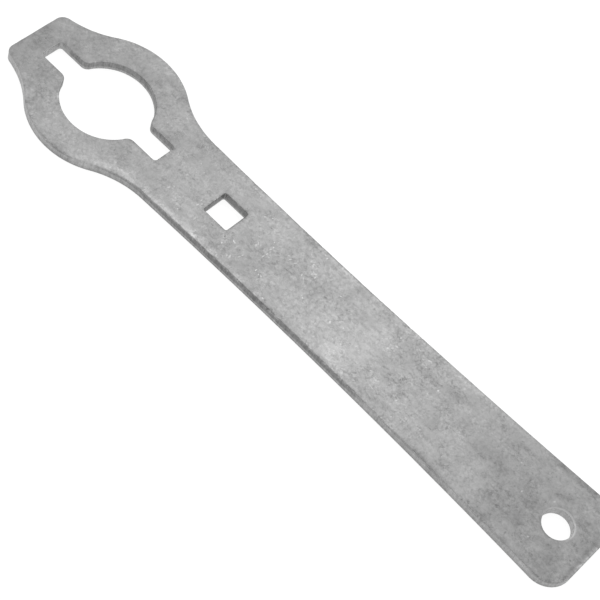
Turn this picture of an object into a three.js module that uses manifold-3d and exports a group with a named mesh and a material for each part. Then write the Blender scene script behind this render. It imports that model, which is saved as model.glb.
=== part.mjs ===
// Fork cap wrench: one flat steel plate with a slotted ring head and a waisted handle.
// The ring drops over a fork cap and its two slots take the cap's lugs.
// The square hole takes a drive peg, and the round hole hangs the wrench up.
// Millimetres, +Z up: the plate lies on z = 0, its length along X, with the head at -X.

import * as THREE from "three";
import { mergeVertices } from "three/addons/utils/BufferGeometryUtils.js";
import Module from "manifold-3d";

// Plate stock
const PLATE_THICKNESS = 3.2;
const EDGE_RADIUS = 0.3;

// Fork cap that the head turns, and the play on each side of it
const CAP_BOSS_DIAMETER = 29.2;
const CAP_LUG_WIDTH = 8;
const CAP_LUG_SPAN = 50;
const CAP_CLEARANCE = 0.2;

// Ring head: the wall around the bore, the round mouth of a slot and the corners at its blind end
const HEAD_WALL = 10.5;
const SLOT_MOUTH_RADIUS = 2.6;
const SLOT_CORNER_RADIUS = 1;

// Nose ahead of the front slot; its width is measured between the corners before they are rounded
const NOSE_LAND = 7.8;
const NOSE_WIDTH = 24;
const NOSE_CORNER_RADIUS = 3.3;
const NOSE_FLANK_RADIUS = 31.5;

// Handle, from the middle of the bore; each side is one wide hollow arc, narrowest at the waist
const HANDLE_LENGTH = 198;
const WAIST_DISTANCE = 81.5;
const WAIST_WIDTH = 29.4;
const SIDE_RADIUS = 2190;
const NECK_RADIUS = 31;
const END_CORNER_RADIUS = 8;

// Square hole for a 3/8 inch drive peg, its play on each side and the land between it and the rear slot
const DRIVE_PEG_WIDTH = 9.525;
const DRIVE_CLEARANCE = 0.0375;
const DRIVE_CORNER_RADIUS = 0.6;
const DRIVE_LAND = 21.5;

// Round hole to hang the wrench by, the land behind it and the shallow dished rim on both faces
const HANG_HOLE_DIAMETER = 9.8;
const HANG_LAND = 7.9;
const HANG_RIM_WIDTH = 0.7;
const HANG_RIM_DEPTH = 0.12;

// Finish
const PLATED_STEEL_COLOUR = 0xa8a8a8;
const PLATED_STEEL_ROUGHNESS = 0.55;
const PLATED_STEEL_METALNESS = 0.9;

// Facets: how far a chord may stray from its arc, and the steps around each rounded edge
const CHORD_SAG = 0.012;
const EDGE_STEPS = 2;

// Points closer than this count as one, and a cutter stands this far out of both faces
const SAME_POINT = 1e-6;
const CUT_OVERSHOOT = 1;

// Derived sizes
const boreRadius = CAP_BOSS_DIAMETER / 2 + CAP_CLEARANCE;
const slotHalfWidth = CAP_LUG_WIDTH / 2 + CAP_CLEARANCE;
const slotReach = CAP_LUG_SPAN / 2 + CAP_CLEARANCE;
const headRadius = boreRadius + HEAD_WALL;
const noseReach = slotReach + NOSE_LAND;
const driveHalfWidth = DRIVE_PEG_WIDTH / 2 + DRIVE_CLEARANCE;
const driveDistance = slotReach + DRIVE_LAND + driveHalfWidth;
const hangHoleRadius = HANG_HOLE_DIAMETER / 2;
const hangHoleDistance = HANDLE_LENGTH - HANG_LAND - hangHoleRadius;

const point = (x, y) => new THREE.Vector2(x, y);
const boreCentre = point(0, 0);

const wasm = await Module();
wasm.setup();

// The point at a distance from one place towards another.
function towards(from, to, distance) {
  return to.clone().sub(from).setLength(distance).add(from);
}

// Where two circles cross, on the left-hand side of the line from the first centre to the second.
function circlesCross(centreA, radiusA, centreB, radiusB) {
  const gap = centreA.distanceTo(centreB);
  const along = (radiusA ** 2 - radiusB ** 2 + gap ** 2) / (2 * gap);
  const across = Math.sqrt(radiusA ** 2 - along ** 2);
  const unit = centreB.clone().sub(centreA).normalize();
  const left = point(-unit.y, unit.x);
  return centreA.clone().addScaledVector(unit, along).addScaledVector(left, across);
}

// The lower point of a circle at a given x.
function circleBelow(centre, radius, x) {
  return point(x, centre.y - Math.sqrt(radius ** 2 - (x - centre.x) ** 2));
}

// Carries a path along an arc from one point to another, with a straight run up to the arc's start.
function addArc(path, centre, from, to, clockwise) {
  const start = from.clone().sub(centre);
  const end = to.clone().sub(centre);
  path.absarc(centre.x, centre.y, start.length(), start.angle(), end.angle(), clockwise);
}

// How many chords an arc needs to stay within the sag; a straight line needs one.
function chordCount(curve) {
  if (!curve.isEllipseCurve) return 1;
  const chordAngle = 2 * Math.acos(1 - CHORD_SAG / curve.xRadius);
  return Math.ceil(curve.getLength() / (curve.xRadius * chordAngle));
}

// A closed outline from its upper half, which runs from the +X end of the X axis to the -X end.
function mirroredOutline(upperHalf) {
  const all = upperHalf.curves.flatMap((curve) => curve.getPoints(chordCount(curve)));
  const upper = all.filter((p, i) => i === 0 || p.distanceTo(all[i - 1]) > SAME_POINT);
  const lower = upper.slice(1, -1).reverse().map((p) => point(p.x, -p.y));
  return [...upper, ...lower];
}

// Outside of the plate: end corner, waisted side, neck, head, nose flank and nose corner.
function plateOutline() {
  const side = point(WAIST_DISTANCE, WAIST_WIDTH / 2 + SIDE_RADIUS);
  const endX = HANDLE_LENGTH - END_CORNER_RADIUS;
  const endCorner = circleBelow(side, SIDE_RADIUS + END_CORNER_RADIUS, endX);
  const neck = circlesCross(side, SIDE_RADIUS - NECK_RADIUS, boreCentre, headRadius + NECK_RADIUS);
  const sharpNose = point(-noseReach, NOSE_WIDTH / 2);
  const flankReach = headRadius + NOSE_FLANK_RADIUS;
  const flank = circlesCross(sharpNose, NOSE_FLANK_RADIUS, boreCentre, flankReach);
  const noseX = NOSE_CORNER_RADIUS - noseReach;
  const noseCorner = circleBelow(flank, NOSE_FLANK_RADIUS + NOSE_CORNER_RADIUS, noseX);

  const endToSide = towards(endCorner, side, END_CORNER_RADIUS);
  const sideToNeck = towards(side, neck, SIDE_RADIUS);
  const neckToHead = towards(boreCentre, neck, headRadius);
  const headToFlank = towards(boreCentre, flank, headRadius);
  const flankToNose = towards(noseCorner, flank, NOSE_CORNER_RADIUS);

  const half = new THREE.Path();
  half.moveTo(HANDLE_LENGTH, 0);
  half.lineTo(HANDLE_LENGTH, endCorner.y);
  addArc(half, endCorner, point(HANDLE_LENGTH, endCorner.y), endToSide, false);
  addArc(half, side, endToSide, sideToNeck, true);
  addArc(half, neck, sideToNeck, neckToHead, true);
  addArc(half, boreCentre, neckToHead, headToFlank, false);
  addArc(half, flank, headToFlank, flankToNose, true);
  addArc(half, noseCorner, flankToNose, point(-noseReach, noseCorner.y), false);
  half.lineTo(-noseReach, 0);
  return mirroredOutline(half);
}

// Bore with its two slots: each slot has a rounded mouth and a blind end with small corners.
function capOpening() {
  const mouthY = slotHalfWidth + SLOT_MOUTH_RADIUS;
  const mouthX = Math.sqrt((boreRadius + SLOT_MOUTH_RADIUS) ** 2 - mouthY ** 2);
  const cornerX = slotReach - SLOT_CORNER_RADIUS;
  const cornerY = slotHalfWidth - SLOT_CORNER_RADIUS;
  const rearMouth = point(mouthX, mouthY);
  const frontMouth = point(-mouthX, mouthY);
  const rearBore = towards(boreCentre, rearMouth, boreRadius);
  const frontBore = towards(boreCentre, frontMouth, boreRadius);
  const rearCorner = point(cornerX, cornerY);
  const frontCorner = point(-cornerX, cornerY);

  const half = new THREE.Path();
  half.moveTo(slotReach, 0);
  half.lineTo(slotReach, cornerY);
  addArc(half, rearCorner, point(slotReach, cornerY), point(cornerX, slotHalfWidth), false);
  half.lineTo(mouthX, slotHalfWidth);
  addArc(half, rearMouth, point(mouthX, slotHalfWidth), rearBore, true);
  addArc(half, boreCentre, rearBore, frontBore, false);
  addArc(half, frontMouth, frontBore, point(-mouthX, slotHalfWidth), true);
  half.lineTo(-cornerX, slotHalfWidth);
  addArc(half, frontCorner, point(-cornerX, slotHalfWidth), point(-slotReach, cornerY), false);
  half.lineTo(-slotReach, 0);
  return mirroredOutline(half);
}

// Square hole for the drive peg, with small round corners.
function driveOpening() {
  const straight = driveHalfWidth - DRIVE_CORNER_RADIUS;
  const rearX = driveDistance + driveHalfWidth;
  const frontX = driveDistance - driveHalfWidth;
  const rearCorner = point(driveDistance + straight, straight);
  const frontCorner = point(driveDistance - straight, straight);

  const half = new THREE.Path();
  half.moveTo(rearX, 0);
  half.lineTo(rearX, straight);
  addArc(half, rearCorner, point(rearX, straight), point(rearCorner.x, driveHalfWidth), false);
  half.lineTo(frontCorner.x, driveHalfWidth);
  addArc(half, frontCorner, point(frontCorner.x, driveHalfWidth), point(frontX, straight), false);
  half.lineTo(frontX, 0);
  return mirroredOutline(half);
}

// The flat plate with its bore, slots and square, every edge rounded over.
function plateBlank() {
  const shape = new THREE.Shape(plateOutline());
  shape.holes.push(new THREE.Path(capOpening()), new THREE.Path(driveOpening()));
  const blank = new THREE.ExtrudeGeometry(shape, {
    depth: PLATE_THICKNESS - 2 * EDGE_RADIUS,
    bevelThickness: EDGE_RADIUS,
    bevelSize: EDGE_RADIUS,
    bevelOffset: -EDGE_RADIUS,
    bevelSegments: EDGE_STEPS,
  });
  return blank.translate(0, 0, EDGE_RADIUS);
}

// The round cutter for the hang hole, which widens at both faces to dish the rims.
function hangHoleCutter() {
  const wide = hangHoleRadius + HANG_RIM_WIDTH * (1 + CUT_OVERSHOOT / HANG_RIM_DEPTH);
  const profile = [
    point(0, -CUT_OVERSHOOT),
    point(wide, -CUT_OVERSHOOT),
    point(hangHoleRadius, HANG_RIM_DEPTH),
    point(hangHoleRadius, PLATE_THICKNESS - HANG_RIM_DEPTH),
    point(wide, PLATE_THICKNESS + CUT_OVERSHOOT),
    point(0, PLATE_THICKNESS + CUT_OVERSHOOT),
  ];
  const steps = Math.ceil(Math.PI / Math.acos(1 - CHORD_SAG / hangHoleRadius));
  const cutter = new THREE.LatheGeometry(profile, steps);
  return cutter.rotateX(Math.PI / 2).translate(hangHoleDistance, 0, 0);
}

// A closed solid from a geometry, with its shared corners merged.
function solidOf(geometry) {
  geometry.deleteAttribute("normal");
  geometry.deleteAttribute("uv");
  const merged = mergeVertices(geometry);
  const vertProperties = merged.attributes.position.array;
  const triVerts = Uint32Array.from(merged.index.array);
  return new wasm.Manifold(new wasm.Mesh({ numProp: 3, vertProperties, triVerts }));
}

// A geometry with flat facets from a closed solid.
function geometryOf(solid) {
  const mesh = solid.getMesh();
  const indexed = new THREE.BufferGeometry();
  indexed.setAttribute("position", new THREE.BufferAttribute(mesh.vertProperties, 3));
  indexed.setIndex(new THREE.BufferAttribute(mesh.triVerts, 1));
  const faceted = indexed.toNonIndexed();
  faceted.computeVertexNormals();
  return faceted;
}

function wrenchPlate() {
  const plate = solidOf(plateBlank()).subtract(solidOf(hangHoleCutter()));
  const material = new THREE.MeshStandardMaterial({
    color: PLATED_STEEL_COLOUR,
    roughness: PLATED_STEEL_ROUGHNESS,
    metalness: PLATED_STEEL_METALNESS,
  });
  const mesh = new THREE.Mesh(geometryOf(plate), material);
  mesh.name = "wrench_plate";
  return mesh;
}

// The plate is drawn from the bore, then moved so that the middle of its length is at x = 0.
const forkCapWrench = new THREE.Group();
const plate = wrenchPlate();
plate.position.x = (noseReach - HANDLE_LENGTH) / 2;
forkCapWrench.add(plate);

export default forkCapWrench;
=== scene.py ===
"""Fork cap wrench: one plated steel plate lying on a pale studio floor.

Metres, +Z up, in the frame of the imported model: the plate lies on z = 0 with its length along X and
its head at -X. The flat faces, the rounded edges and the blanked walls are one modelled mesh.
"""

import logging
import math
import random
from dataclasses import dataclass, field
from enum import Enum
from typing import Any, Mapping, Optional, Sequence, Union

import bpy
import numpy as np
from mathutils import Matrix, Vector, kdtree, noise
from mathutils.geometry import delaunay_2d_cdt


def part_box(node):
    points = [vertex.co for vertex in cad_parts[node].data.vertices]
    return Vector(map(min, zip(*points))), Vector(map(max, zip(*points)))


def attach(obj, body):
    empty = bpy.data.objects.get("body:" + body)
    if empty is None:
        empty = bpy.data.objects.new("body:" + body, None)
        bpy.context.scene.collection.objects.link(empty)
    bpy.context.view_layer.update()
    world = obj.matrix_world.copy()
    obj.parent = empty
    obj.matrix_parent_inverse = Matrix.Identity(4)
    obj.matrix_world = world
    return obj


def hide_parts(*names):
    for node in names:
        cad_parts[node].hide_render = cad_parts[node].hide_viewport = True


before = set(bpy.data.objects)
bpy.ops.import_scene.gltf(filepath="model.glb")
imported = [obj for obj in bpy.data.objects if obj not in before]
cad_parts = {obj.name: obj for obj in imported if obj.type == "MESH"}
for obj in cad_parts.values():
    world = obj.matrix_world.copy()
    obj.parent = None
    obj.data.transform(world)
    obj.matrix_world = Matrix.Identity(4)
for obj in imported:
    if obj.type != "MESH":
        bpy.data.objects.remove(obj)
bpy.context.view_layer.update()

MM = 0.001
IMAGE_SIDE = 600
WHITE = (1.0, 1.0, 1.0, 1.0)
# Noise along the edges: its shift from one seed to the next, and how much weaker, as a power of
# their size, and how much smaller each layer's features are than those of the layer before
SEED_STRIDES = (7.31, 3.17, 5.73)
LAYER_WEAKER = 1.0
LAYER_SMALLER = 2.0
# Bounds along X that take in the whole plate with room to spare
EVERYWHERE = (-2.0, -1.0, 1.0, 2.0)

Span = tuple[float, float]
Values = Union[float, np.ndarray]

log = logging.getLogger("fork_cap_wrench")


class Side(Enum):
    """The two flat faces of the plate, with the sign of the way each one looks along Z."""

    TOP = 1
    UNDER = -1


class Trait(Enum):
    """What the mesh tells the finish about each of its points, most of it from 0 to 1."""

    WALL = "cut_wall"
    # Share of the dark burnish tone, a darkness that is partly painted shade
    BURNISH = "burnish"
    EDGE = "edge"
    # Bright marks: nicks, and the painted highlights on the rims of the hang hole and along the top edges
    NICK = "nick"
    # Dark marks: scratches and specks, and the painted shade at the feet of the walls and on the hang hole's
    # far rim
    SCRATCH = "scratch"
    # Soft patches: stains, with painted highlights and painted shade among them
    STAIN_AND_PAINTED_LIGHT = "stain_and_painted_light"
    TUMBLE = "tumbled"


class Noise(Enum):
    """The noises that the finish adds to the traits of the mesh."""

    MOTTLE = "mottle"
    GRAIN = "grain"
    PATCH = "patch"
    SPOT = "spot"
    STREAK = "streak"
    SPANGLE = "spangle"


class Change(Enum):
    """What changes along a cut edge: the seed step, the feature size and the layers of its noise."""

    SHARE = (0, 5.0 * MM, 4)
    STREAK = (20, 1.4 * MM, 3)
    DRILLING = (20, 1.2 * MM, 3)
    RADIUS = (40, 6.0 * MM, 4)
    BREAK = (60, 0.9 * MM, 2)
    FADE = (80, 9.0 * MM, 4)
    STROKE = (100, 2.5 * MM, 4)


def circles_cross(first: Vector, first_radius: float, second: Vector, second_radius: float) -> Vector:
    """Finds where two circles cross, on the left of the line from the first centre to the second.

    Args:
        first: Centre of the first circle.
        first_radius: Radius of the first circle.
        second: Centre of the second circle.
        second_radius: Radius of the second circle.

    Returns:
        The crossing point.
    """
    gap = (second - first).length
    along = (first_radius**2 - second_radius**2 + gap**2) / (2 * gap)
    across = math.sqrt(first_radius**2 - along**2)
    ahead = (second - first).normalized()
    left = Vector((-ahead.y, ahead.x))
    return first + ahead * along + left * across


def circle_below(centre: Vector, radius: float, x: float) -> Vector:
    """Gives the lower point of a circle at a given x."""
    return Vector((x, centre.y - math.sqrt(radius**2 - (x - centre.x) ** 2)))


def towards(start: Vector, end: Vector, distance: float) -> Vector:
    """Gives the point at a distance from one place towards another."""
    return start + (end - start).normalized() * distance


def shares(count: int, first: int = 0) -> list[float]:
    """Gives the share of a run that is done after each of its equal steps, from the first one."""
    return [step / count for step in range(first, count + 1)]


def rising(least: Values, share: np.ndarray) -> np.ndarray:
    """Runs from a least value where the share is 0 to 1 where the share is 1."""
    return least + (1 - least) * share


def smooth_step(values: np.ndarray, low: float, high: float) -> np.ndarray:
    """Eases values from 0 at the low bound to 1 at the high bound; the bounds may run either way."""
    share = np.clip((values - low) / (high - low), 0.0, 1.0)
    return share * share * (3 - 2 * share)


def waver(places: np.ndarray, feature: float, seed: int, octaves: int) -> np.ndarray:
    """Works out smooth noise at a row of places.

    Args:
        places: Points, one in each row.
        feature: Size of the largest features.
        seed: Moves the noise to another part of its space.
        octaves: How many finer layers are added up.

    Returns:
        One value for each point, about -1 to 1.
    """
    shift = Vector([seed * stride for stride in SEED_STRIDES])
    values = []
    for place in places:
        spot = Vector((*place, 0.0)[:3]) / feature + shift
        values.append(noise.fractal(spot, LAYER_WEAKER, LAYER_SMALLER, octaves))
    return np.array(values)


def turned(points: np.ndarray, middle: Span, angle: float) -> tuple[np.ndarray, np.ndarray]:
    """Measures points along and across a line.

    Args:
        points: Points, one in each row.
        middle: The point of the line to measure from.
        angle: Angle of the line from +X, in radians.

    Returns:
        How far each point is along the line, and how far to the left of it.
    """
    away = points - middle
    along = away[:, 0] * math.cos(angle) + away[:, 1] * math.sin(angle)
    across = away[:, 1] * math.cos(angle) - away[:, 0] * math.sin(angle)
    return along, across


class Trace:
    """A pen that draws the upper half of an outline, from the +X end of the X axis to its -X end."""

    MOST_TURN = math.radians(10)

    def __init__(self, start: Vector, pitch: float) -> None:
        """Puts the pen down at a first point, on the X axis, to draw points a pitch apart."""
        self.points = [start]
        self.pitch = pitch

    def line(self, end: Vector) -> None:
        """Draws a straight run to a point."""
        steps = math.ceil((end - self.points[-1]).length / self.pitch)
        self.points += [self.points[-1].lerp(end, share) for share in shares(steps, 1)]

    def arc(self, centre: Vector, end: Vector, clockwise: bool = False) -> None:
        """Draws an arc to a point.

        Args:
            centre: Centre of the arc.
            end: Last point of the arc.
            clockwise: Which way round the arc goes.
        """
        start = self.points[-1] - centre
        reach = end - centre
        turn = math.atan2(start.x * reach.y - start.y * reach.x, start.dot(reach)) % math.tau
        if clockwise:
            turn -= math.tau
        steps = math.ceil(abs(turn) / min(self.MOST_TURN, self.pitch / start.length))
        for step in range(1, steps + 1):
            self.points.append(centre + Matrix.Rotation(turn * step / steps, 2) @ start)

    def closed(self) -> np.ndarray:
        """Gives the whole outline, counter-clockwise, with the lower half mirrored from the upper."""
        upper = np.array([tuple(place) for place in self.points])
        return np.vstack((upper, upper[-2:0:-1] * (1, -1)))


@dataclass(frozen=True)
class PlateOutlines:
    """The outlines that are cut in the plate.

    A reach, a length or a distance is from the middle of the bore, along the plate. Half widths are
    from its middle line.
    """

    nose_reach: float
    handle_length: float
    # Distance between the points of an outline
    pitch: float = 0.36 * MM

    # The ring head, its bore and the two slots that open into the bore
    head_radius: float = 25.3 * MM
    bore_radius: float = 14.8 * MM
    slot_reach: float = 25.2 * MM
    slot_half_width: float = 4.2 * MM
    slot_mouth_radius: float = 2.6 * MM
    slot_corner_radius: float = 1.0 * MM

    # The nose, measured to its sharp corners, and the hollow between it and the head
    nose_half_width: float = 12.0 * MM
    nose_corner_radius: float = 3.3 * MM
    nose_flank_radius: float = 31.5 * MM

    # The narrowest part of the handle, its hollow sides, the hollow behind the head, the end corners
    waist_distance: float = 81.5 * MM
    waist_half_width: float = 14.7 * MM
    side_radius: float = 2190.0 * MM
    neck_radius: float = 31.0 * MM
    end_corner_radius: float = 8.0 * MM

    # The square hole
    drive_distance: float = 51.5 * MM
    drive_half_width: float = 4.8 * MM
    drive_corner_radius: float = 0.6 * MM

    # The hang hole, and the land between it and the far end
    hang_land: float = 7.9 * MM
    hang_hole_radius: float = 4.9 * MM

    def outside(self) -> np.ndarray:
        """Draws the end corner, waisted side, neck, head, nose flank and nose corner.

        Returns:
            Points round the plate.
        """
        bore = Vector((0.0, 0.0))
        side = Vector((self.waist_distance, self.waist_half_width + self.side_radius))
        end_x = self.handle_length - self.end_corner_radius
        end_corner = circle_below(side, self.side_radius + self.end_corner_radius, end_x)
        neck_reach = self.head_radius + self.neck_radius
        neck = circles_cross(side, self.side_radius - self.neck_radius, bore, neck_reach)
        sharp_nose = Vector((-self.nose_reach, self.nose_half_width))
        flank_reach = self.head_radius + self.nose_flank_radius
        flank = circles_cross(sharp_nose, self.nose_flank_radius, bore, flank_reach)
        nose_x = self.nose_corner_radius - self.nose_reach
        nose_corner = circle_below(flank, self.nose_flank_radius + self.nose_corner_radius, nose_x)

        pen = Trace(Vector((self.handle_length, 0.0)), self.pitch)
        pen.line(Vector((self.handle_length, end_corner.y)))
        pen.arc(end_corner, towards(end_corner, side, self.end_corner_radius))
        pen.arc(side, towards(side, neck, self.side_radius), clockwise=True)
        pen.arc(neck, towards(bore, neck, self.head_radius), clockwise=True)
        pen.arc(bore, towards(bore, flank, self.head_radius))
        pen.arc(flank, towards(nose_corner, flank, self.nose_corner_radius), clockwise=True)
        pen.arc(nose_corner, Vector((-self.nose_reach, nose_corner.y)))
        pen.line(Vector((-self.nose_reach, 0.0)))
        return pen.closed()

    def cap_opening(self) -> np.ndarray:
        """Draws the bore with its two slots, their rounded mouths and their blind ends.

        Returns:
            Points round the opening that goes over a fork cap.
        """
        bore = Vector((0.0, 0.0))
        mouth_y = self.slot_half_width + self.slot_mouth_radius
        mouth_x = math.sqrt((self.bore_radius + self.slot_mouth_radius) ** 2 - mouth_y**2)
        corner_x = self.slot_reach - self.slot_corner_radius
        corner_y = self.slot_half_width - self.slot_corner_radius
        rear_mouth = Vector((mouth_x, mouth_y))
        front_mouth = Vector((-mouth_x, mouth_y))

        pen = Trace(Vector((self.slot_reach, 0.0)), self.pitch)
        pen.line(Vector((self.slot_reach, corner_y)))
        pen.arc(Vector((corner_x, corner_y)), Vector((corner_x, self.slot_half_width)))
        pen.line(Vector((mouth_x, self.slot_half_width)))
        pen.arc(rear_mouth, towards(bore, rear_mouth, self.bore_radius), clockwise=True)
        pen.arc(bore, towards(bore, front_mouth, self.bore_radius))
        pen.arc(front_mouth, Vector((-mouth_x, self.slot_half_width)), clockwise=True)
        pen.line(Vector((-corner_x, self.slot_half_width)))
        pen.arc(Vector((-corner_x, corner_y)), Vector((-self.slot_reach, corner_y)))
        pen.line(Vector((-self.slot_reach, 0.0)))
        return pen.closed()

    def drive_opening(self) -> np.ndarray:
        """Draws the square hole for the drive peg, with small round corners.

        Returns:
            Points round the square hole.
        """
        straight = self.drive_half_width - self.drive_corner_radius
        rear_x = self.drive_distance + self.drive_half_width
        front_x = self.drive_distance - self.drive_half_width
        rear_corner = Vector((self.drive_distance + straight, straight))
        front_corner = Vector((self.drive_distance - straight, straight))

        pen = Trace(Vector((rear_x, 0.0)), self.pitch)
        pen.line(Vector((rear_x, straight)))
        pen.arc(rear_corner, Vector((rear_corner.x, self.drive_half_width)))
        pen.line(Vector((front_corner.x, self.drive_half_width)))
        pen.arc(front_corner, Vector((front_x, straight)))
        pen.line(Vector((front_x, 0.0)))
        return pen.closed()

    def hang_hole(self) -> np.ndarray:
        """Draws the round hole that the wrench hangs by.

        Returns:
            Points round the hole.
        """
        centre_x = self.handle_length - self.hang_land - self.hang_hole_radius
        pen = Trace(Vector((centre_x + self.hang_hole_radius, 0.0)), self.pitch)
        pen.arc(Vector((centre_x, 0.0)), Vector((centre_x - self.hang_hole_radius, 0.0)))
        return pen.closed()


class MeshDraft:
    """Points, traits and faces of one mesh, gathered before Blender makes it."""

    def __init__(self) -> None:
        """Starts an empty draft."""
        self.blocks: list[np.ndarray] = []
        self.traits: dict[Trait, list[np.ndarray]] = {trait: [] for trait in Trait}
        self.faces: list[tuple[int, ...]] = []
        self.count = 0

    def add(self, points: np.ndarray, traits: Mapping[Trait, np.ndarray]) -> np.ndarray:
        """Adds points.

        Args:
            points: Places, one in each row.
            traits: Values of some traits at these points; the rest are 0.

        Returns:
            The index of each point in the mesh.
        """
        first = self.count
        self.count += len(points)
        self.blocks.append(points)
        for trait in Trait:
            values = traits.get(trait, np.zeros(len(points)))
            self.traits[trait].append(np.asarray(values, float))
        return np.arange(first, self.count)

    def points(self) -> np.ndarray:
        """Gives every point added so far, one in each row."""
        return np.vstack(self.blocks)

    def put(self, trait: Trait, values: np.ndarray) -> None:
        """Gives every point added so far its value of one trait."""
        self.traits[trait] = [values]

    def make(self, name: str) -> bpy.types.Object:
        """Makes the smooth-shaded object and its trait attributes.

        Args:
            name: Name of the object and its mesh.

        Returns:
            The new object, linked to the scene.
        """
        mesh = bpy.data.meshes.new(name)
        mesh.from_pydata(self.points().tolist(), [], self.faces)
        for trait, parts in self.traits.items():
            layer = mesh.attributes.new(trait.value, "FLOAT", "POINT")
            layer.data.foreach_set("value", np.concatenate(parts).astype(np.float32))
        mesh.shade_smooth()
        piece = bpy.data.objects.new(name, mesh)
        bpy.context.scene.collection.objects.link(piece)
        return piece


@dataclass
class EdgeProfile:
    """The rows of points down one cut wall, from the top face to the underside.

    Each row holds one value for each column of points round the outline.

    Attributes:
        inset: How far each point stands back from the outline.
        height: Height of each point above the underside.
        traits: Traits of each point.
    """

    inset: list[np.ndarray] = field(default_factory=list)
    height: list[np.ndarray] = field(default_factory=list)
    traits: dict[Trait, list[np.ndarray]] = field(default_factory=lambda: {trait: [] for trait in Trait})

    def row(self, inset: np.ndarray, height: Values, **traits: Values) -> None:
        """Adds one row below the last one.

        Args:
            inset: How far the points stand back from the outline.
            height: Height of the points.
            traits: Values of some traits by their lower-case names; the rest are 0.
        """
        self.inset.append(inset)
        self.height.append(np.broadcast_to(height, inset.shape))
        for trait in Trait:
            value = traits.get(trait.name.lower(), 0.0)
            self.traits[trait].append(np.broadcast_to(value, inset.shape))


@dataclass
class CutEdge:
    """One cut wall of the plate, all the way round an outline, with its edges at both faces.

    Attributes:
        name: Plain name of the edge, for the log.
        outline: Points round the edge, counter-clockwise.
        hole: True where the air is inside the outline.
        thickness: Thickness of the plate.
        seed: Makes this edge's wear its own.
        guard: Width of the strip of flat face that follows the edge.
        streak_depth: Depth of the streaks that the tool left.
        round_steps: Rows of faces down the rounding or the dish at a face.
        wall_steps: Rows of faces down each half of the wall.
        profile: The rows of the wall.
    """

    name: str
    outline: np.ndarray
    hole: bool
    thickness: float
    seed: int
    guard: float = 0.22 * MM
    streak_depth: float = 0.035 * MM
    round_steps: int = 5
    wall_steps: int = 5
    profile: EdgeProfile = field(default_factory=EdgeProfile, init=False)

    def air(self) -> np.ndarray:
        """Finds which way the air lies.

        Returns:
            The unit direction from the plate to the air at each point of the outline.
        """
        along = np.roll(self.outline, -1, axis=0) - np.roll(self.outline, 1, axis=0)
        along /= np.linalg.norm(along, axis=1, keepdims=True)
        outward = np.stack((along[:, 1], -along[:, 0]), axis=1)
        return -outward if self.hole else outward

    def facing_far(self) -> np.ndarray:
        """Gives how squarely each point of the outline faces +Y, and 0 where it faces the other way."""
        return np.clip(self.air()[:, 1], 0, 1)

    def vary(self, change: Change, places: Optional[np.ndarray] = None) -> np.ndarray:
        """Gives how much one thing changes, about -1 to 1, along the outline or at other places."""
        step, feature, octaves = change.value
        return waver(self.outline if places is None else places, feature, self.seed + step, octaves)

    def uneven(self, depth: float, change: Change, places: Optional[np.ndarray] = None) -> np.ndarray:
        """Makes a depth uneven, from none of it to all of it."""
        return depth * np.clip(0.5 + self.vary(change, places), 0, 1)

    def add_rows(self) -> None:
        """Adds the rows of the wall to its profile; each kind of edge has its own."""
        raise NotImplementedError

    def build(self, draft: MeshDraft) -> tuple[np.ndarray, np.ndarray]:
        """Adds the wall to the mesh.

        Args:
            draft: The mesh that takes the wall.

        Returns:
            The indexes of the wall's first row, on the top face, and of its last, on the underside.
        """
        self.add_rows()
        inset = np.array(self.profile.inset)
        height = np.array(self.profile.height)
        flat = self.outline[None] - self.air()[None] * inset[..., None]
        points = np.concatenate((flat, height[..., None]), axis=2)
        traits = {trait: np.array(rows).ravel() for trait, rows in self.profile.traits.items()}
        rows = draft.add(points.reshape(-1, 3), traits).reshape(height.shape)
        for upper, lower in zip(rows, rows[1:]):
            ring = [upper, lower, np.roll(lower, -1), np.roll(upper, -1)]
            if self.hole:
                ring.reverse()
            draft.faces.extend(map(tuple, np.stack(ring, axis=1).tolist()))
        log.info("%s: %d points round, %d rows down", self.name, rows.shape[1], rows.shape[0])
        return rows[0], rows[-1]


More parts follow.
